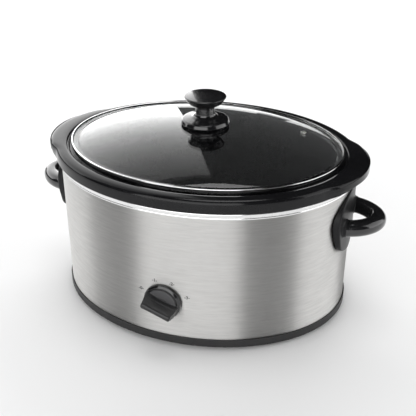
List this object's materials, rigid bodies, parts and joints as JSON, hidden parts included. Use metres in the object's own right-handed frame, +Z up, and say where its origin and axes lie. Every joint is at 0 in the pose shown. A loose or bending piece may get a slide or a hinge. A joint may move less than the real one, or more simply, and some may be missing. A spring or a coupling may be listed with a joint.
{
  "type": "slow cooker",
  "caption": "Oval electric slow cooker with a brushed steel body, lift-out black stoneware crock, domed glass lid with knob, side loop handles and a rotary selector.",
  "frame": {"origin": "middle of the whole object's outline, on the surface it stands on", "axes": "+X along the oval towards the right handle, -Y towards the front with the control knob, +Z up"},
  "size_m": [0.411, 0.296, 0.238],
  "materials": {
    "brushed_steel": "stainless sheet, brushed round the wall",
    "polished_steel": "polished stainless ring",
    "plated_steel": "zinc plated hardware",
    "well_aluminium": "plain pressed sheet",
    "black_stoneware": "opaque black glazed stoneware",
    "black_phenolic": "moulded phenolic, gloss",
    "base_black": "moulded base, fine matte grain",
    "rubber": "moulded rubber",
    "lid_glass": "clear tempered glass",
    "heater_mica": "mica band with foil element",
    "felt": "glass fibre felt",
    "ceramic": "white ceramic or melamine body",
    "brass": "turned brass",
    "lead_insulation": "glass braided sleeve"
  },
  "bodies": {
    "housing": {"base_tray": "base_black", "foot_front_right": "rubber", "foot_front_left": "rubber", "foot_rear_right": "rubber", "foot_rear_left": "rubber", "foot_screw_front_right": "plated_steel", "foot_screw_front_left": "plated_steel", "foot_screw_rear_right": "plated_steel", "foot_screw_rear_left": "plated_steel", "outer_shell": "brushed_steel", "trim_ring": "polished_steel", "heating_well": "well_aluminium", "heater_band": "heater_mica", "heater_felt": "felt", "liner_stud": "plated_steel", "tie_spring": "plated_steel", "tie_washer": "plated_steel", "tie_nut": "plated_steel", "selector_switch": "ceramic", "switch_nut": "brass", "cord_gland": "black_phenolic", "gland_nut": "black_phenolic", "terminal_block": "ceramic", "thermal_fuse": "plated_steel", "lead_live": "lead_insulation", "lead_low": "lead_insulation", "lead_high": "lead_insulation", "right_handle": "black_phenolic", "left_handle": "black_phenolic", "right_handle_backing": "plated_steel", "left_handle_backing": "plated_steel", "right_handle_screw_front": "plated_steel", "right_handle_screw_rear": "plated_steel", "left_handle_screw_front": "plated_steel", "left_handle_screw_rear": "plated_steel"},
    "crock": {"stoneware_crock": "black_stoneware"},
    "lid": {"lid_glass": "lid_glass", "lid_band": "polished_steel", "steam_vent": "plated_steel", "lid_gasket": "rubber", "lid_knob_base": "black_phenolic", "lid_knob": "black_phenolic", "lid_washer": "plated_steel", "lid_screw": "plated_steel"},
    "selector": {"control_knob": "black_phenolic", "switch_shaft": "plated_steel", "knob_clip": "plated_steel"}
  },
  "joints": [
    {"name": "crock_lift", "type": "slide", "parent": "housing", "child": "crock", "axis": [0, 0, 1], "range_m": [0, 0.18]},
    {"name": "lid_lift", "type": "slide", "parent": "crock", "child": "lid", "axis": [0, 0, 1], "range_m": [0, 0.12]},
    {"name": "selector_turn", "type": "hinge", "parent": "housing", "child": "selector", "pos_m": [0, -0.13, 0.0567], "axis": [0, 1, 0], "range_deg": [0, 140]}
  ]
}
